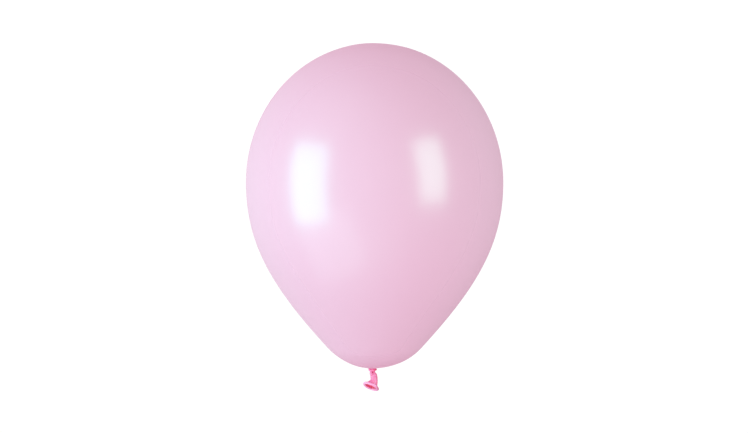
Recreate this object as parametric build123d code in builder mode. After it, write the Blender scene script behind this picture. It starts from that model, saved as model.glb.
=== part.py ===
"""Inflated round latex party balloon, tied off with an overhand knot in its own neck.

Millimetres. The origin is in the middle of the gathered neck, between the envelope and the knot,
where a ribbon is tied. +Z runs up to the crown, +X is to the right and -Y is the front.
The film is one dipped moulding. Its zones that differ in form or that move on their own are separate
solids here: envelope, gathered neck, knot, tail and rolled lip.
"""

import os
from math import cos, radians, sin

from build123d import *

os.makedirs("parts", exist_ok=True)

# ---- Envelope: the inflated skin, a body of revolution about its own upright axis ----
EQUATOR_RADIUS = 140.0  # half of the greatest width
CROWN_RISE = 151.5  # equator up to the crown
POLE_DROP = 202.3  # equator down to the lower pole
ROUND_PULL = 0.5523  # share of each radius that makes a Bezier span a quarter of an ellipse
FLANK_TOP_PULL = 67.0  # how far the flank keeps going straight down below the equator
FLANK_END_PULL = 89.0  # how far it keeps to the shoulder's slope above the bottom cap
CAP_RADIUS = 69.6  # round bottom cap around the neck
CAP_ANGLE = 47.5  # half-angle of that cap, in degrees
FILM = 0.4  # thickness of the skin solid; the real film is far thinner
POLE_HEIGHT = 0.6  # lower pole above the middle of the neck
AXIS_SHIFT = 2.4  # the knot draws the neck this far to the left of the envelope's axis
NECK_HOLE_RADIUS = 3.6  # opening in the skin where the gathered neck leaves it

# ---- Gathered neck: the film bunched into pleats, which rocks in the envelope's opening ----
NECK_TOP = 1.2  # top of the gather, just inside the skin
NECK_TOP_RADIUS = 2.8
NECK_RIM = 0.3  # thickness of its flared edge
NECK_BALL_RADIUS = 1.2  # rounded lower end, centred on the origin
NECK_BALL_REACH = 20.0  # degrees above level at which the flare leaves the rounded end
PLEATS = 9
PLEAT_RADIUS = 0.35

# ---- Knot: one wrap of the neck round its own standing part ----
KNOT_CENTRE = (0.2, 0.0, -1.15)
LOOP_RADIUS = 3.2  # to the middle of the wrapped strand
STRAND_RADIAL = 1.4  # half-thickness of the strand, outwards
STRAND_UPRIGHT = 1.2  # half-thickness of the strand, upwards
LOOP_TILT = 2.0  # degrees, the right side higher
CORE_RADIUS = 2.0
CORE_TOP = -0.4
CORE_BOTTOM = -1.9
SEAT_GAP = 0.2  # running room round the rounded ends in their seats

# ---- Tail: the free end of the neck, from the knot to the mouth ----
TAIL_PIVOT = (0.1, 0.0, -3.9)  # where the tail flexes, just under the knot
ROOT_RADIUS = 1.9
TAIL_WALL = 0.55
LIP_HALF_WIDTH = 7.9  # to the middle of the bead
LIP_HALF_DEPTH = 6.2
BEAD_RADIUS = 1.35

# Sections of the tail from the root to the mouth: middle in X, Y and Z, half-width, half-depth,
# roll (degrees by which the right side is the lower) and nod (degrees it turns up to the front).
TAIL_SECTIONS = [
    (0.1, 0.0, -3.9, 2.2, 2.2, 0, 0),
    (0.9, 0.0, -7.2, 3.7, 3.1, 6, 0),
    (1.9, -0.2, -10.9, 4.2, 3.6, 16, 5),
    (1.3, -0.6, -15.1, 4.9, 4.2, 28, 12),
    (-1.6, -1.2, -19.1, LIP_HALF_WIDTH, LIP_HALF_DEPTH, 24, 20),
]
CAVITY_START = 1  # the hollow starts at this section, below the root


def section_plane(section):
    """The plane of a section of the tail, its x along the wide way and its normal to the mouth."""
    roll, nod = radians(section[5]), radians(section[6])
    across = (cos(roll), 0, -sin(roll))
    towards_mouth = (-sin(roll) * cos(nod), -sin(nod), -cos(roll) * cos(nod))
    return Plane(origin=section[:3], x_dir=across, z_dir=towards_mouth)


# ---- envelope: the outer body less the inner one, each drawn from its lower pole ----
envelope_plane = Plane(origin=(AXIS_SHIFT, 0, POLE_HEIGHT), x_dir=(1, 0, 0), z_dir=(0, -1, 0))
cap_angle = radians(CAP_ANGLE)
cap_slope = (cos(cap_angle), sin(cap_angle))
with BuildPart() as envelope:
    for inset, mode in ((0, Mode.ADD), (FILM, Mode.SUBTRACT)):
        side = EQUATOR_RADIUS - inset
        rise = CROWN_RISE - inset
        crown = POLE_DROP + rise
        cap = CAP_RADIUS - inset
        join = (cap * sin(cap_angle), CAP_RADIUS - cap * cos(cap_angle))
        above_join = (join[0] + FLANK_END_PULL * cap_slope[0], join[1] + FLANK_END_PULL * cap_slope[1])
        below_equator = (side, POLE_DROP - FLANK_TOP_PULL)
        above_equator = (side, POLE_DROP + ROUND_PULL * rise)
        beside_crown = (ROUND_PULL * side, crown)
        with BuildSketch(envelope_plane):
            with BuildLine():
                Line((0, inset), (0, crown))
                Bezier((side, POLE_DROP), above_equator, beside_crown, (0, crown))
                Bezier((side, POLE_DROP), below_equator, above_join, join)
                CenterArc((0, CAP_RADIUS), cap, start_angle=-90, arc_size=CAP_ANGLE)
            make_face()
        revolve(axis=Axis((AXIS_SHIFT, 0, 0), (0, 0, 1)), mode=mode)
    with BuildSketch(Plane.XY):
        Circle(NECK_HOLE_RADIUS)
    extrude(amount=POLE_HEIGHT + 2 * NECK_HOLE_RADIUS, mode=Mode.SUBTRACT)

# ---- neck_pleats: a trumpet of bunched film over a rounded end, fluted all round ----
reach = radians(NECK_BALL_REACH)
waist = (NECK_BALL_RADIUS * cos(reach), NECK_BALL_RADIUS * sin(reach))
with BuildPart() as neck_pleats:
    with BuildSketch(Plane.XZ):
        with BuildLine():
            Line((0, -NECK_BALL_RADIUS), (0, NECK_TOP))
            Line((0, NECK_TOP), (NECK_TOP_RADIUS, NECK_TOP))
            Line((NECK_TOP_RADIUS, NECK_TOP), (NECK_TOP_RADIUS, NECK_TOP - NECK_RIM))
            Bezier((NECK_TOP_RADIUS, NECK_TOP - NECK_RIM), (waist[0], NECK_TOP - NECK_RIM), waist)
            CenterArc((0, 0), NECK_BALL_RADIUS, start_angle=-90, arc_size=90 + NECK_BALL_REACH)
        make_face()
    revolve(axis=Axis.Z)
    with BuildSketch(Plane.XY.offset(waist[1])):
        with PolarLocations(NECK_TOP_RADIUS, PLEATS):
            Circle(PLEAT_RADIUS)
    extrude(amount=NECK_TOP, mode=Mode.SUBTRACT)

# ---- knot_loop: the wrapped strand, a thick collar round the core ----
tilt = radians(LOOP_TILT)
loop_plane = Plane(origin=KNOT_CENTRE, x_dir=(cos(tilt), 0, sin(tilt)), z_dir=(0, -1, 0))
with BuildPart() as knot_loop:
    with BuildSketch(loop_plane):
        with Locations((LOOP_RADIUS, 0)):
            Ellipse(STRAND_RADIAL, STRAND_UPRIGHT)
    revolve(axis=Axis(KNOT_CENTRE, (-sin(tilt), 0, cos(tilt))))

# ---- knot_core: the strand inside the wrap, hollowed at both ends for the rounded ends in it ----
with BuildPart() as knot_core:
    with BuildSketch(Plane.XY.offset(CORE_BOTTOM)):
        with Locations(KNOT_CENTRE[:2]):
            Circle(CORE_RADIUS)
    extrude(amount=CORE_TOP - CORE_BOTTOM)
    add(knot_loop.part, mode=Mode.SUBTRACT)
    Sphere(NECK_BALL_RADIUS + SEAT_GAP, mode=Mode.SUBTRACT)
    with Locations(TAIL_PIVOT):
        Sphere(ROOT_RADIUS + SEAT_GAP, mode=Mode.SUBTRACT)

# ---- tail_root: the pinched strand that comes out of the knot ----
with BuildPart() as tail_root:
    with Locations(TAIL_PIVOT):
        Sphere(ROOT_RADIUS)

# ---- rolled_lip: the bead that the film's edge is rolled into ----
with BuildPart() as rolled_lip:
    with BuildLine(section_plane(TAIL_SECTIONS[-1])) as lip_path:
        EllipticalCenterArc((0, 0), LIP_HALF_WIDTH, LIP_HALF_DEPTH, arc_size=360)
    with BuildSketch(Plane(origin=lip_path.line @ 0, z_dir=lip_path.line % 0)):
        Circle(BEAD_RADIUS)
    sweep(path=lip_path.line)

# ---- tail_sleeve: the free end of the neck, from the root to the middle of the lip's bead ----
with BuildPart() as tail_sleeve:
    for sections, growth, mode in (
        (TAIL_SECTIONS, TAIL_WALL / 2, Mode.ADD),
        (TAIL_SECTIONS[CAVITY_START:], -TAIL_WALL / 2, Mode.SUBTRACT),
    ):
        for section in sections:
            with BuildSketch(section_plane(section)):
                Ellipse(section[3] + growth, section[4] + growth)
        loft(mode=mode)
    with Locations(TAIL_PIVOT):
        Sphere(ROOT_RADIUS + SEAT_GAP, mode=Mode.SUBTRACT)

pieces = {
    "envelope": envelope,
    "neck_pleats": neck_pleats,
    "knot_loop": knot_loop,
    "knot_core": knot_core,
    "tail_root": tail_root,
    "tail_sleeve": tail_sleeve,
    "rolled_lip": rolled_lip,
}
for name, piece in pieces.items():
    piece.part.label = name
    export_step(piece.part, f"parts/{name}.step")
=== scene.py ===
"""A tied latex balloon: the visual model, its light and its camera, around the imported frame.

The sizes at the top are in millimetres, as in the CAD, and add_piece turns them into metres. The studio
is in metres. +Z runs up the balloon to its crown, +X is to the right and -Y is the front. Angles round
the tail are in degrees: 0 is the right, -90 the front and 180 the left.
"""

import math

import bmesh
import bpy
import numpy as np
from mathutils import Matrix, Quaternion, Vector


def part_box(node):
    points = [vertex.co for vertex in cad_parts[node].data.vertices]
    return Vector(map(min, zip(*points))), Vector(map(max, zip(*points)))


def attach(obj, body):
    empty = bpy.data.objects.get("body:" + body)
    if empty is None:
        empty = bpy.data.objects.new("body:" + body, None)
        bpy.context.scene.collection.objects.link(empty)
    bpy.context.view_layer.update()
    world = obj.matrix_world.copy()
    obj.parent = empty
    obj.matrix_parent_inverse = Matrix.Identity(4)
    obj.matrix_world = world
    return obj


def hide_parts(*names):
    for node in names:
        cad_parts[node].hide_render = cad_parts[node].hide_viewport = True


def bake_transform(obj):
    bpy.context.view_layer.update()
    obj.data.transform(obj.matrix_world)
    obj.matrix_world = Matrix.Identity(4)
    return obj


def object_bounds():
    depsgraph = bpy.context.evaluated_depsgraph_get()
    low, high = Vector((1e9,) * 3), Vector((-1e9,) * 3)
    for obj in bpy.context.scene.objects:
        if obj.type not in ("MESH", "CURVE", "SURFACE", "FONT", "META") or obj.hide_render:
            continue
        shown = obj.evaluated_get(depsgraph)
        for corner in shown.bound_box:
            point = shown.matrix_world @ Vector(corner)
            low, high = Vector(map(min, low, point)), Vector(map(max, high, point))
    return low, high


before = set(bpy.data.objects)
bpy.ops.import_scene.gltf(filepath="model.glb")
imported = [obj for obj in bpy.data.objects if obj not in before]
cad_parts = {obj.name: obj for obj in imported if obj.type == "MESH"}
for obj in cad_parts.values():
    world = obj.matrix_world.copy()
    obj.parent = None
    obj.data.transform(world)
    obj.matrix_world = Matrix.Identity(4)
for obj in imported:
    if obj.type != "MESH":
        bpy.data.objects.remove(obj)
cad_low, cad_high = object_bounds()

MM = 0.001
lit_pieces = bpy.data.collections.new("lit_pieces")  # all that the softboxes shine on, so not the floor

# ---- Skin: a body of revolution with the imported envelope's own outline ----
CROWN_RISE = 151.5  # equator up to the crown
POLE_DROP = 202.3  # equator down to the lower pole
FLANK_TOP_PULL = 67.0  # how far the flank keeps going straight down below the equator
FLANK_END_PULL = 89.0  # how far it keeps to the shoulder's slope above the bottom cap
CAP_RADIUS = 69.6  # round bottom cap around the neck
CAP_ANGLE = 47.5  # half-angle of that cap, in degrees
SKIN_SIDES = 240
CROWN_START = 89.0  # degrees above level at which the first ring stands, beside the crown
CROWN_RINGS, FLANK_RINGS, CAP_RINGS, FUNNEL_RINGS = 72, 64, 30, 28
FUNNEL_RADIUS = 6.5  # where the cap starts to turn down into the neck
FUNNEL_START = 1.8  # how far the funnel keeps to the cap's slope, inwards
FUNNEL_SHOULDER = (3.5, 0.1)  # the point that draws the funnel down onto the knot's collar
FUNNEL_FOOT = (1.5, -0.25)  # radius and height at which the skin ends, inside the knot
AXIS_BEND = (2.0, 40.0)  # between these radii the skin leaves the neck's axis for its own
PLEAT_FADE = (1.5, 13.0)  # the funnel's pleats die out between these radii
PLEAT_FOOT = (1.4, 2.4)  # and they keep their height only outside the foot
PLEATS = (15, 9)  # two sets of pleats that don't fall in step
PLEAT_SPREAD = 0.05  # how far they stand out, as a share of the radius
PLEAT_LIFT = 0.12  # how far they rise and fall
# Slack film on the skin: how deep its colour is, and the radii between which that fades out
NECK_FILM = (0.9, 2.0, 9.0)
BELOW_FILM = (0.25, 8.0, 60.0)
CROWN_FILM = (0.35, 3.0, 18.0)

# ---- Knot: the route of the gathered neck, in order from the balloon round the collar to the tail ----
# middle in X, Y and Z, and how thick the strand is there, radially and upright
KNOT_ROUTE = [
    (0.0, 0.3, 0.1, 1.0, 1.0),
    (-0.6, -1.8, -0.35, 1.1, 0.9),
    (2.1, -2.3, -0.75, 1.2, 0.95),
    (3.85, -0.1, -0.85, 1.1, 1.0),
    (2.6, 2.3, -0.9, 1.2, 1.1),
    (0.0, 3.0, -1.0, 1.2, 1.15),
    (-2.4, 2.1, -0.9, 1.25, 1.25),
    (-3.15, -0.1, -0.9, 1.25, 1.3),
    (-2.2, -2.0, -1.35, 1.3, 1.55),
    (-0.4, -2.65, -1.6, 1.1, 1.1),
    (1.5, -2.15, -1.85, 0.95, 0.8),
    (2.4, -0.5, -2.15, 0.9, 0.75),
    (1.5, 0.7, -2.3, 0.9, 0.75),
    (0.3, 0.5, -2.3, 0.9, 0.75),
]
STRAND_RINGS = 170
STRAND_SIDES = 48
HEART_PLACE = (0.15, 0.0)  # the strand inside the wrap stands here
HEART_RADIUS = 2.1
HEART_TOP = -0.15
HEART_FOOT = -2.3
HEART_RINGS = 20

# ---- Throat: the bunched film that fills the skin's opening above the knot ----
THROAT_TOP = 0.75
THROAT_FOOT = -0.3
THROAT_RADIUS = 1.55
THROAT_FLARE = 0.9  # how much wider it is at its top
THROAT_FLARE_START = 0.1
THROAT_PLEATS = 9
THROAT_RINGS = 26
THROAT_SIDES = 72

# ---- Tail: sections from inside the knot to the mouth ----
# middle in X, Y and Z, half-width, half-depth, roll and nod in degrees
TAIL_SECTIONS = [
    (-0.3, 0.0, -0.8, 1.5, 1.4, 0, 0),
    (-0.2, 0.0, -2.2, 2.55, 2.35, 0, 0),
    (0.1, 0.0, -3.5, 2.8, 2.5, 2, 0),
    (0.6, 0.0, -4.9, 3.5, 2.9, 4, 0),
    (1.1, 0.0, -6.5, 3.9, 3.2, 7, 0),
    (1.6, -0.1, -9.0, 4.05, 3.4, 12, 3),
    (1.9, -0.3, -11.6, 4.1, 3.6, 19, 7),
    (1.5, -0.6, -14.3, 4.6, 4.0, 27, 12),
    (0.1, -0.9, -16.7, 5.9, 4.9, 28, 20),
    (-1.6, -1.2, -19.1, 7.9, 6.2, 24, 28),
]
# Folds of the tail: height of each point on the fold, its angle and how far it stands out or in,
# as a share of the section. The last value is the fold's half-width in degrees.
TAIL_FOLDS = [
    ([(-1.6, -150, 0.12), (-4.2, -141, 0.15), (-8.0, -143, 0.1), (-12.0, -155, 0.02)], 22),
    (
        [
            (-1.6, -76, -0.5),
            (-3.2, -76, -0.68),
            (-4.2, -82, -0.5),
            (-5.4, -98, -0.26),
            (-7.4, -110, -0.12),
            (-10.5, -118, 0.0),
        ],
        17,
    ),
    ([(-2.6, -40, 0.0), (-4.7, -46, 0.2), (-7.0, -66, 0.17), (-10.1, -107, 0.13), (-13.0, -134, 0.03)], 20),
    ([(-2.6, -20, -0.1), (-4.2, -20, -0.15), (-5.8, -20, -0.16), (-8.0, -17, -0.08), (-11.0, -15, 0.0)], 10),
    ([(-2.6, 30, 0.0), (-4.5, 20, 0.1), (-8.0, 15, 0.05), (-12.0, 10, 0.0)], 24),
    ([(-2.0, 75, -0.2), (-4.5, 70, -0.3), (-8.0, 55, -0.14), (-12.5, 40, 0.0)], 17),
    ([(-2.0, 110, 0.0), (-4.5, 105, 0.13), (-8.5, 85, 0.1), (-13.0, 70, 0.02)], 24),
    ([(-2.0, 150, -0.18), (-4.0, 155, -0.25), (-7.5, 150, -0.12), (-11.5, 145, 0.0)], 16),
]
TAIL_SIDES = 144
TAIL_RINGS = 96
TAIL_FILM = 0.3  # thickness of the tail's film
BEAD_RADIUS = 1.35
BEAD_FULL = 78  # degrees before the right at which the rolled bead is fullest, so nearly at the front
BEAD_FULLNESS = 0.13  # how much fuller it is there, and thinner across from there
BEAD_SIDES = 36
BEAD_RINGS = 180


# ---------------------------------------------------------------- mesh helpers


def add_piece(name, points, faces, material, film=None):
    """A smooth-shaded mesh object in the row frame, from points in millimetres.

    film is each point's share of the deep colour, from 0, tight and pale, to 1, slack and deep; on the skin
    it is the share of unstretched film, and on the knot, tail and bead mostly painted shade.
    """
    mesh = bpy.data.meshes.new(name)
    mesh.from_pydata((np.asarray(points) * MM).tolist(), [], faces)
    mesh.validate()
    solid = bmesh.new()
    solid.from_mesh(mesh)
    bmesh.ops.recalc_face_normals(solid, faces=solid.faces)
    solid.to_mesh(mesh)
    solid.free()
    mesh.shade_smooth()
    if film is not None:
        layer = mesh.attributes.new("film", "FLOAT", "POINT")
        layer.data.foreach_set("value", np.asarray(film, np.float32))
    piece = bpy.data.objects.new(name, mesh)
    bpy.context.scene.collection.objects.link(piece)
    mesh.materials.append(material)
    lit_pieces.objects.link(piece)
    return piece


def grid_faces(rows, columns, closed_rows=False):
    """Quads over rows of points, each row a closed ring of that many columns."""
    faces = []
    for i in range(rows if closed_rows else rows - 1):
        here, there = i * columns, (i + 1) % rows * columns
        for j in range(columns):
            k = (j + 1) % columns
            faces.append((here + j, here + k, there + k, there + j))
    return faces


def fan(ring_start, columns, tip):
    """Triangles that close the ring starting at ring_start to the point tip."""
    return [(ring_start + j, ring_start + (j + 1) % columns, tip) for j in range(columns)]


def smooth_through(knots, values, at):
    """Values at the places asked for, on a smooth curve through the given ones. The knots rise."""
    knots, values, at = np.asarray(knots, float), np.asarray(values, float), np.asarray(at, float)
    slopes = np.gradient(values, knots, axis=0)
    i = np.clip(np.searchsorted(knots, at, side="right") - 1, 0, len(knots) - 2)
    span = knots[i + 1] - knots[i]
    u = np.clip((at - knots[i]) / span, 0, 1)
    shape = (-1,) + (1,) * (values.ndim - 1)
    u, span = u.reshape(shape), span.reshape(shape)
    start = (1 + 2 * u) * (1 - u) ** 2 * values[i] + u * (1 - u) ** 2 * span * slopes[i]
    end = u * u * (3 - 2 * u) * values[i + 1] + u * u * (u - 1) * span * slopes[i + 1]
    return start + end


def angle_between(a, b):
    """The signed turn from b to a, in degrees, the short way round."""
    return (a - b + 180.0) % 360.0 - 180.0


def fade(value, low, high):
    """0 below low, 1 above high and smooth between."""
    u = np.clip((value - low) / (high - low), 0, 1)
    return u * u * (3 - 2 * u)


# ---------------------------------------------------------------- materials


def node(tree, kind, **inputs):
    """A shader node with some of its inputs set or linked."""
    made = tree.nodes.new(kind)
    for name, value in inputs.items():
        socket = made.inputs[name.replace("_", " ")]
        if isinstance(value, bpy.types.NodeSocket):
            tree.links.new(value, socket)
        else:
            socket.default_value = value
    return made


# Patterns of the film: how fine each noise is, its detail, and how far it moves the value either way
CLOUDS = (28.0, 3.0, 0.035)  # in the share of deep colour
SPECKS = (1500.0, 2.0, 0.02)  # in the share of deep colour
SMEARS = (60.0, 4.0, 0.012)  # in the roughness
GRAIN = (2600.0, 3.0)  # in the height of the surface
GRAIN_HEIGHT = 0.04 * MM
COAT_ROUGHNESS = 0.25
COAT_IOR = 1.5
SCATTER_COLOUR = (1.0, 0.35, 0.5)  # how far each colour travels in the film, as a share of the reach
SCATTER_REACH = 1.2 * MM
RIM_TURN = (0.42, 0.85)  # the haze starts and is full here: 1 less the cosine of the turn from the eye
RIM_HAZE = 0.5  # how much rougher the film is at its rims


def latex(name, pale, deep, roughness, ior, scatter, wrinkle, coat):
    """Pigmented latex film: paler where it is stretched, deeper by the film attribute, which on the knot,
    tail and bead is mostly painted shade, with soft clouds, specks and a faint grain.
    """
    material = bpy.data.materials.new(name)
    material.use_nodes = True
    tree = material.node_tree
    shader = tree.nodes["Principled BSDF"]
    place = node(tree, "ShaderNodeTexCoord").outputs["Object"]
    film = node(tree, "ShaderNodeAttribute")
    film.attribute_name = "film"

    def noise(scale, detail, rough=0.5):
        made = node(tree, "ShaderNodeTexNoise", Vector=place, Scale=scale, Detail=detail)
        made.inputs["Roughness"].default_value = rough
        return made.outputs["Fac"]

    def pattern(scale, detail, spread, middle=0.0):
        made = node(tree, "ShaderNodeMapRange", Value=noise(scale, detail))
        made.inputs["To Min"].default_value = middle - spread
        made.inputs["To Max"].default_value = middle + spread
        return made.outputs["Result"]

    def added(one, other):
        made = node(tree, "ShaderNodeMath")
        made.operation = "ADD"
        tree.links.new(one, made.inputs[0])
        tree.links.new(other, made.inputs[1])
        return made

    clouded = added(film.outputs["Fac"], pattern(*CLOUDS))
    share = added(clouded.outputs[0], pattern(*SPECKS))
    share.use_clamp = True
    colour = node(tree, "ShaderNodeMix")
    colour.data_type = "RGBA"
    colour.inputs[6].default_value = (*pale, 1)
    colour.inputs[7].default_value = (*deep, 1)
    tree.links.new(share.outputs[0], colour.inputs[0])
    tree.links.new(colour.outputs[2], shader.inputs["Base Color"])
    # the gloss is hazier where the film turns away, so that a lamp behind draws no hard white rim
    facing = node(tree, "ShaderNodeLayerWeight", Blend=0.5).outputs["Facing"]
    haze = node(tree, "ShaderNodeMapRange", Value=facing)
    haze.inputs["From Min"].default_value, haze.inputs["From Max"].default_value = RIM_TURN
    haze.inputs["To Max"].default_value = RIM_HAZE
    gloss = added(pattern(*SMEARS, middle=roughness), haze.outputs["Result"])
    tree.links.new(gloss.outputs[0], shader.inputs["Roughness"])
    bump = node(tree, "ShaderNodeBump", Height=noise(*GRAIN, rough=0.6), Strength=wrinkle)
    bump.inputs["Distance"].default_value = GRAIN_HEIGHT
    tree.links.new(bump.outputs["Normal"], shader.inputs["Normal"])
    shader.inputs["IOR"].default_value = ior
    shader.inputs["Coat Weight"].default_value = coat
    shader.inputs["Coat Roughness"].default_value = COAT_ROUGHNESS
    shader.inputs["Coat IOR"].default_value = COAT_IOR
    shader.inputs["Subsurface Weight"].default_value = scatter
    shader.inputs["Subsurface Radius"].default_value = SCATTER_COLOUR
    shader.inputs["Subsurface Scale"].default_value = SCATTER_REACH
    return material


PALE = (0.755, 0.392, 0.55)
BLUSH = (0.77, 0.27, 0.47)
ROSE = (1.0, 0.23, 0.48)
# the slack film's deep tone, laid on as painted shade in the tail and on the knot's right and back
CRIMSON = (0.80, 0.018, 0.125)
# the bead's pale tone is lighter than ROSE as painted light, for the light the rolled bead catches
BEAD_LIT_ROSE = (1.0, 0.34, 0.62)
# the bead's deep tone, laid on as painted shade at its right end
BEAD_SHADE_CRIMSON = (0.52, 0.06, 0.16)

skin_latex = latex(
    "stretched_latex", PALE, BLUSH, roughness=0.26, ior=1.92, scatter=0.0, wrinkle=0.06, coat=0.0
)
neck_latex = latex(
    "slack_latex", ROSE, CRIMSON, roughness=0.46, ior=1.6, scatter=0.35, wrinkle=0.3, coat=0.3
)
bead_latex = latex(
    "rolled_latex", BEAD_LIT_ROSE, BEAD_SHADE_CRIMSON, roughness=0.42, ior=1.6, scatter=0.35, wrinkle=0.3, coat=0.4
)


# ---------------------------------------------------------------- the inflated skin

skin_low, skin_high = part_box("envelope")
skin_axis = (skin_low.x + skin_high.x) / 2 / MM
equator_radius = (skin_high.x - skin_low.x) / 2 / MM
equator_z = skin_high.z / MM - CROWN_RISE
pole_z = equator_z - POLE_DROP


def bezier(points, count):
    """Points along a cubic Bezier, without its last one."""
    p = np.asarray(points, float)
    u = np.arange(count)[:, None] / count
    return (1 - u) ** 3 * p[0] + 3 * u * (1 - u) ** 2 * p[1] + 3 * u * u * (1 - u) * p[2] + u**3 * p[3]


def skin_outline():
    """Radius and height of the skin, from just beside the crown down into the knot."""
    turn = np.radians(np.linspace(CROWN_START, 0.0, CROWN_RINGS, endpoint=False))
    crown = np.column_stack([equator_radius * np.cos(turn), equator_z + CROWN_RISE * np.sin(turn)])
    angle = math.radians(CAP_ANGLE)
    join = np.array([CAP_RADIUS * math.sin(angle), pole_z + CAP_RADIUS * (1 - math.cos(angle))])
    slope = np.array([math.cos(angle), math.sin(angle)])
    flank = bezier(
        [
            (equator_radius, equator_z),
            (equator_radius, equator_z - FLANK_TOP_PULL),
            join + FLANK_END_PULL * slope,
            join,
        ],
        FLANK_RINGS,
    )
    rim = math.asin(FUNNEL_RADIUS / CAP_RADIUS)
    turn = np.linspace(math.radians(CAP_ANGLE), rim, CAP_RINGS, endpoint=False)
    cap = np.column_stack([CAP_RADIUS * np.sin(turn), pole_z + CAP_RADIUS * (1 - np.cos(turn))])
    rim_z = pole_z + CAP_RADIUS * (1 - math.cos(rim))
    start = (FUNNEL_RADIUS - FUNNEL_START, rim_z - FUNNEL_START * math.tan(rim))
    funnel = bezier([(FUNNEL_RADIUS, rim_z), start, FUNNEL_SHOULDER, FUNNEL_FOOT], FUNNEL_RINGS)
    return np.vstack([crown, flank, cap, funnel, [FUNNEL_FOOT]])


def slack_film(radius, depth, start, end):
    """How deep the skin's colour is at a radius: depth inside start, and none outside end."""
    return depth * (1 - fade(radius, start, end))


def make_skin():
    """The stretched skin, drawn down into a pleated funnel that ends inside the knot."""
    outline = skin_outline()
    turn = np.linspace(0, 2 * math.pi, SKIN_SIDES, endpoint=False)
    radius, height = outline[:, :1], outline[:, 1:]
    lower = height < equator_z
    gather = np.where(lower, 1 - fade(radius, *PLEAT_FADE), 0.0)
    many, few = PLEATS
    pleat = np.cos(many * turn + 0.7 * np.sin(2 * turn)) + 0.5 * np.cos(few * turn + 1.3)
    spread = radius * (1 + PLEAT_SPREAD * gather**3 * pleat)
    lift = -PLEAT_LIFT * gather**2 * fade(radius, *PLEAT_FOOT) * pleat
    points = np.empty(spread.shape + (3,))
    points[..., 0] = skin_axis * fade(radius, *AXIS_BEND) + spread * np.cos(turn)
    points[..., 1] = spread * np.sin(turn)
    points[..., 2] = height + lift
    below = slack_film(radius, *NECK_FILM) + slack_film(radius, *BELOW_FILM)
    film = np.broadcast_to(np.where(lower, below, slack_film(radius, *CROWN_FILM)), spread.shape)
    rows = len(outline)
    crown_tip = [skin_axis, 0.0, equator_z + CROWN_RISE]
    points = np.vstack([points.reshape(-1, 3), [crown_tip]])
    film = np.append(film.reshape(-1), CROWN_FILM[0])
    faces = grid_faces(rows, SKIN_SIDES) + fan(0, SKIN_SIDES, rows * SKIN_SIDES)
    piece = add_piece("inflated_skin", points, faces, skin_latex, film)
    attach(piece, "balloon")
    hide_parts("envelope")


# ---------------------------------------------------------------- strands and tubes


def frames_along(path, first_side):
    """Unit side and up vectors at each point of a path, carried along it with the least twist."""
    path = np.asarray(path, float)
    along = np.gradient(path, axis=0)
    along /= np.linalg.norm(along, axis=1, keepdims=True)
    side = np.asarray(first_side, float)
    sides = []
    for direction in along:
        side = side - direction * side.dot(direction)
        side /= np.linalg.norm(side)
        sides.append(side)
    sides = np.array(sides)
    return sides, np.cross(along, sides)


def strand_points(path, half_side, half_up, lobes, depth=0.025, twist=2.5):
    """Rings of a fluted strand: gathered film seen as lobes that wind slowly along it."""
    sides, ups = frames_along(path, first_side=(0, 0, 1))
    turn = np.linspace(0, 2 * math.pi, STRAND_SIDES, endpoint=False)
    step = twist * np.linspace(0, 1, len(path))[:, None]
    wave = np.cos(lobes * turn + step) + 0.45 * np.cos((lobes - 2) * turn - 1.4 * step + 1.0)
    flute = 1 + depth * wave
    x = (half_side[:, None] * np.cos(turn) * flute)[..., None] * sides[:, None, :]
    y = (half_up[:, None] * np.sin(turn) * flute)[..., None] * ups[:, None, :]
    return np.asarray(path)[:, None, :] + x + y


def tube(rings, tips=None):
    """Points and faces of rings joined up into a tube, closed to its tips or to its end rings' middles."""
    rows, columns = rings.shape[:2]
    if tips is None:
        tips = rings[[0, -1]].mean(axis=1)
    points = np.vstack([rings.reshape(-1, 3), tips])
    ends = fan(0, columns, rows * columns) + fan((rows - 1) * columns, columns, rows * columns + 1)
    return points, grid_faces(rows, columns) + ends


def make_knot():
    """The neck turns out, wraps once round itself and tucks back in through the middle."""
    route = np.asarray(KNOT_ROUTE, float)
    steps = np.concatenate([[0], np.cumsum(np.linalg.norm(np.diff(route[:, :3], axis=0), axis=1))])
    place = smooth_through(steps, route, np.linspace(0, steps[-1], STRAND_RINGS))
    wrap = strand_points(place[:, :3], place[:, 4], place[:, 3], lobes=5)
    points, faces = tube(wrap, tips=place[[0, -1], :3])
    # painted shade: the knot's colour is deeper towards the right and the back, the sides turned from the
    # key light
    film = 0.02 + 0.65 * fade(points[:, 0], -1.0, 4.0) + 0.2 * fade(points[:, 1], -1.0, 3.0)
    knot = add_piece("overhand_knot", points, faces, neck_latex, film)
    height = np.linspace(HEART_TOP, HEART_FOOT, HEART_RINGS)
    core = np.column_stack([np.broadcast_to(HEART_PLACE, (HEART_RINGS, 2)), height])
    radius = np.full(HEART_RINGS, HEART_RADIUS)
    # Known fault: this path runs along the first side that strand_points gives to frames_along, so the
    # rings come out as NaN and the heart has no surface. A first side across the path would mend it.
    points, faces = tube(strand_points(core, radius, radius, lobes=9), tips=core[[0, -1]])
    heart = add_piece("knot_heart", points, faces, neck_latex, np.full(len(points), 0.7))
    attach(knot, "knot")
    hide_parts("knot_loop")
    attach(heart, "knot")
    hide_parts("knot_core")


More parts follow.
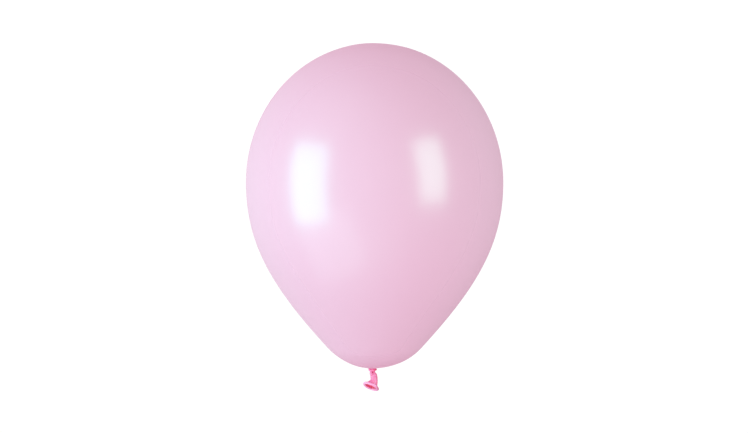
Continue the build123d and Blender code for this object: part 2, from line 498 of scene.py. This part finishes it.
def make_neck():
    """The pleated throat that fills the skin's opening above the knot."""
    height = np.linspace(THROAT_TOP, THROAT_FOOT, THROAT_RINGS)[:, None]
    width = THROAT_RADIUS + THROAT_FLARE * fade(height, THROAT_FLARE_START, THROAT_TOP)
    turn = np.linspace(0, 2 * math.pi, THROAT_SIDES, endpoint=False)
    width = width * (1 + 0.12 * np.cos(THROAT_PLEATS * turn + 1.2 * height))
    rings = np.stack(np.broadcast_arrays(width * np.cos(turn), width * np.sin(turn), height), axis=-1)
    points, faces = tube(rings)
    piece = add_piece("gathered_neck", points, faces, neck_latex, np.full(len(points), 0.4))
    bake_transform(piece)
    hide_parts("neck_pleats")


# ---------------------------------------------------------------- the tail and its lip


def section_axes(roll, nod):
    """Unit vectors across and through the depth of a section of the tail, and towards the mouth."""
    roll, nod = np.radians(roll), np.radians(nod)
    zero = np.zeros_like(roll)
    across = np.stack([np.cos(roll), zero, -np.sin(roll)], axis=-1)
    onwards = np.stack([-np.sin(roll) * np.cos(nod), -np.sin(nod), -np.cos(roll) * np.cos(nod)], axis=-1)
    return across, np.cross(across, onwards), onwards


def tail_rings(inset, count):
    """Rings of the tail's film, inset from its outside by that many millimetres, and their folding."""
    table = np.asarray(TAIL_SECTIONS, float)
    knots = np.arange(len(table), dtype=float)
    place = smooth_through(knots, table, np.linspace(0, knots[-1], count))
    across, depth, _ = section_axes(place[:, 5], place[:, 6])
    turn = np.linspace(-180, 180, TAIL_SIDES, endpoint=False)
    stand = np.zeros((count, TAIL_SIDES))
    for fold, half_width in TAIL_FOLDS:
        nodes = np.asarray(fold, float)[::-1]
        centre = smooth_through(nodes[:, 0], nodes[:, 1], place[:, 2])
        height = smooth_through(nodes[:, 0], nodes[:, 2], place[:, 2])
        stand += height[:, None] * np.exp(-((angle_between(turn, centre[:, None]) / half_width) ** 2))
    width = (place[:, 3:4] * (1 + stand) - inset)[..., None]
    reach = (place[:, 4:5] * (1 + stand) - inset)[..., None]
    cosine, sine = np.cos(np.radians(turn))[:, None], np.sin(np.radians(turn))[:, None]
    # depth points to the back, as +Y does, so an angle of -90 is the front
    rings = place[:, None, :3] + width * cosine * across[:, None, :] + reach * sine * depth[:, None, :]
    return rings, stand


def make_tail():
    """The hollow free end of the neck: its outside, turned in at the mouth, and its inside."""
    outer, stand = tail_rings(0.0, TAIL_RINGS)
    inner = tail_rings(TAIL_FILM, TAIL_RINGS)[0][::-1]
    points, faces = tube(np.concatenate([outer, inner]))
    # painted shade: the film's deep colour is laid in the folds' valleys, at the root under the knot, inside
    # the bell, on the right, the side turned from the key light, and where it turns out under the bead
    along = np.linspace(0, 1, TAIL_RINGS)[:, None]
    turn = np.linspace(-180, 180, TAIL_SIDES, endpoint=False)
    valley_shade = 1.9 * np.maximum(-stand, 0)
    root = 0.3 * (1 - fade(along, 0.0, 0.12))
    right = 0.36 * fade(np.cos(np.radians(turn - 12)), 0.15, 0.95)
    shoulder = 0.35 * fade(along, 0.80, 0.93)
    outside = 0.05 + valley_shade + root + right + shoulder
    # painted shade: the whole inside of the bell is given the deep colour
    inside = np.ones(inner.shape[:2])
    film = np.append(np.concatenate([outside, inside]), [0.9, 0.9])
    piece = add_piece("tail_film", points, faces, neck_latex, film)
    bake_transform(piece)
    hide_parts("tail_root", "tail_sleeve")


def make_lip():
    """The film's edge, rolled up into a bead round the mouth."""
    mouth = np.asarray(TAIL_SECTIONS[-1], float)
    across, depth, onwards = section_axes(mouth[5], mouth[6])
    turn = np.linspace(0, 2 * math.pi, BEAD_RINGS, endpoint=False)[:, None]
    wave = 0.10 * np.cos(3 * turn + 0.6) + 0.06 * np.cos(5 * turn + 2.0)
    path = mouth[:3] + mouth[3] * np.cos(turn) * across + mouth[4] * np.sin(turn) * depth + wave * onwards
    outwards = np.cos(turn) * across * mouth[4] + np.sin(turn) * depth * mouth[3]
    outwards /= np.linalg.norm(outwards, axis=1, keepdims=True)
    around = np.linspace(0, 2 * math.pi, BEAD_SIDES, endpoint=False)
    plump = BEAD_RADIUS * (1 + 0.03 * np.cos(2 * turn + 1.0) + 0.02 * np.cos(7 * turn))
    plump *= 1 + BEAD_FULLNESS * np.cos(turn + math.radians(BEAD_FULL))
    swell = 1 + 0.035 * np.cos(3 * around + 1.5 * turn)
    radial = (plump * swell * np.cos(around))[..., None] * outwards[:, None, :]
    normal = (0.96 * plump * swell * np.sin(around))[..., None] * onwards
    rings = path[:, None, :] + radial + normal
    # painted shade: the bead's colour is deeper at its right end, the end turned from the light
    film = (0.05 + 0.6 * fade(rings[..., 0], 2.5, 6.5)).reshape(-1)  # deeper at its right end
    faces = grid_faces(BEAD_RINGS, BEAD_SIDES, closed_rows=True)
    piece = add_piece("rolled_bead", rings.reshape(-1, 3), faces, bead_latex, film)
    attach(piece, "tail")
    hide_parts("rolled_lip")


# ---------------------------------------------------------------- light, floor and camera

FLOOR_DROP = 0.80  # from the balloon's lowest point down to the floor
FLOOR_RADIUS = 4.0
FLOOR_FADE = (1.2, 3.6)  # between these radii the floor melts into the white backdrop
FLOOR_COLOUR = (0.97, 0.96, 0.965)
FLOOR_ROUGHNESS = 0.9
LENS = 100.0
SENSOR = 36.0
VIEW_WIDTH = 0.815  # how much the camera takes in at the balloon, from left to right
VIEW_OFFSET = (-0.65 * MM, 0.8 * MM)  # the camera's place beside and above the middle of the balloon
ROOM_LIGHT = 0.99
ROOM_SLANT = (-0.17, -0.03, -0.36)  # the room is lighter to the left, the front and most of all below
ROOM_REFLECTION = (0.80, 0.62, 0.72)  # what the film mirrors, near its own tone, so that no rim glows
BACKDROP = 1.05


def make_floor():
    """A pale disc far below, which only its front side shows and which has no visible edge."""
    place = (0, 0, cad_low.z - FLOOR_DROP)
    bpy.ops.mesh.primitive_circle_add(vertices=128, radius=FLOOR_RADIUS, fill_type="NGON", location=place)
    floor = bpy.context.object
    floor.name = "floor"
    material = bpy.data.materials.new("pale_floor")
    material.use_nodes = True
    tree = material.node_tree
    shader = tree.nodes["Principled BSDF"]
    shader.inputs["Base Color"].default_value = (*FLOOR_COLOUR, 1)
    shader.inputs["Roughness"].default_value = FLOOR_ROUGHNESS
    clear = node(tree, "ShaderNodeBsdfTransparent")
    reach = node(tree, "ShaderNodeVectorMath")
    reach.operation = "LENGTH"
    tree.links.new(node(tree, "ShaderNodeTexCoord").outputs["Object"], reach.inputs[0])
    melt = node(tree, "ShaderNodeMapRange", Value=reach.outputs["Value"])
    melt.interpolation_type = "SMOOTHSTEP"
    melt.inputs["From Min"].default_value, melt.inputs["From Max"].default_value = FLOOR_FADE
    hidden = node(tree, "ShaderNodeMath")
    hidden.operation = "MAXIMUM"
    tree.links.new(melt.outputs["Result"], hidden.inputs[0])
    tree.links.new(node(tree, "ShaderNodeNewGeometry").outputs["Backfacing"], hidden.inputs[1])
    mix = node(tree, "ShaderNodeMixShader")
    tree.links.new(hidden.outputs[0], mix.inputs[0])
    tree.links.new(shader.outputs[0], mix.inputs[1])
    tree.links.new(clear.outputs[0], mix.inputs[2])
    tree.links.new(mix.outputs[0], tree.nodes["Material Output"].inputs["Surface"])
    floor.data.materials.append(material)
    floor.visible_glossy = False  # the skin mirrors the even room, with no horizon across it


def make_world():
    """A room that lights the balloon from all round, mirrors as one tone and looks plain white."""
    world = bpy.data.worlds.new("studio")
    bpy.context.scene.world = world
    world.use_nodes = True
    tree = world.node_tree
    room = tree.nodes["Background"]
    room.inputs["Color"].default_value = (1, 1, 1, 1)
    direction = node(tree, "ShaderNodeTexCoord").outputs["Generated"]
    slant = node(tree, "ShaderNodeVectorMath")
    slant.operation = "DOT_PRODUCT"
    tree.links.new(direction, slant.inputs[0])
    slant.inputs[1].default_value = ROOM_SLANT
    strength = node(tree, "ShaderNodeMath")
    strength.operation = "ADD"
    tree.links.new(slant.outputs["Value"], strength.inputs[0])
    strength.inputs[1].default_value = ROOM_LIGHT
    tree.links.new(strength.outputs[0], room.inputs["Strength"])
    ray = node(tree, "ShaderNodeLightPath").outputs
    mirrored = node(tree, "ShaderNodeBackground", Color=(*ROOM_REFLECTION, 1), Strength=1.0)
    backdrop = node(tree, "ShaderNodeBackground", Color=(1, 1, 1, 1), Strength=BACKDROP)
    shown = room
    for kind, other in (("Is Glossy Ray", mirrored), ("Is Camera Ray", backdrop)):
        mix = node(tree, "ShaderNodeMixShader")
        tree.links.new(ray[kind], mix.inputs[0])
        tree.links.new(shown.outputs[0], mix.inputs[1])
        tree.links.new(other.outputs[0], mix.inputs[2])
        shown = mix
    tree.links.new(shown.outputs[0], tree.nodes["World Output"].inputs["Surface"])


def softbox(name, azimuth, elevation, distance, size, power, colour, roll=0, mirrored=True):
    """A square-edged area light, aimed at the balloon, which mirrors it if asked to.

    azimuth is from the front to the right, in degrees, and roll turns the light about its own axis.
    """
    centre = (cad_low + cad_high) / 2
    a, e = math.radians(azimuth), math.radians(elevation)
    towards = Vector((math.sin(a) * math.cos(e), -math.cos(a) * math.cos(e), math.sin(e)))
    lamp = bpy.data.lights.new(name, "AREA")
    lamp.shape = "RECTANGLE"
    lamp.size, lamp.size_y = size
    lamp.energy = power
    lamp.color = colour
    light = bpy.data.objects.new(name, lamp)
    light.location = centre + towards * distance
    aim = towards.to_track_quat("Z", "Y") @ Quaternion((0, 0, 1), math.radians(roll))
    light.rotation_euler = aim.to_euler()
    light.light_linking.receiver_collection = lit_pieces
    light.visible_glossy = mirrored
    bpy.context.scene.collection.objects.link(light)


def make_camera():
    """A long lens that looks level at the middle of the balloon, from the front."""
    centre = (cad_low + cad_high) / 2
    camera = bpy.data.objects.new("camera", bpy.data.cameras.new("camera"))
    camera.data.lens = LENS
    camera.data.sensor_width = SENSOR
    camera.location = centre + Vector((VIEW_OFFSET[0], -VIEW_WIDTH * LENS / SENSOR, VIEW_OFFSET[1]))
    camera.rotation_euler = (math.radians(90), 0, 0)
    bpy.context.scene.collection.objects.link(camera)
    bpy.context.scene.camera = camera
    bpy.context.scene.view_settings.view_transform = "Standard"


make_camera()
make_world()
make_floor()
softbox("key_left", -57.2, 3.3, 1.0, size=(0.61, 0.85), power=5.7, colour=(0.20, 1.0, 0.78))
softbox("reflector_low", -44, -34, 1.0, size=(0.9, 0.75), power=1.3, colour=(0.60, 1.0, 0.95))
softbox("fill_right", 48.6, 10.8, 1.1, size=(0.48, 0.78), power=4.0, colour=(0.42, 1.0, 0.74), roll=5)
softbox("bounce_low", -8, -52, 1.2, size=(1.0, 1.0), power=4.0, colour=(0.88, 0.97, 0.97), mirrored=False)
softbox("bounce_high", -55, 50, 1.2, size=(1.0, 1.0), power=2.2, colour=(1.0, 0.92, 0.95), mirrored=False)
make_skin()
make_neck()
make_knot()
make_tail()
make_lip()
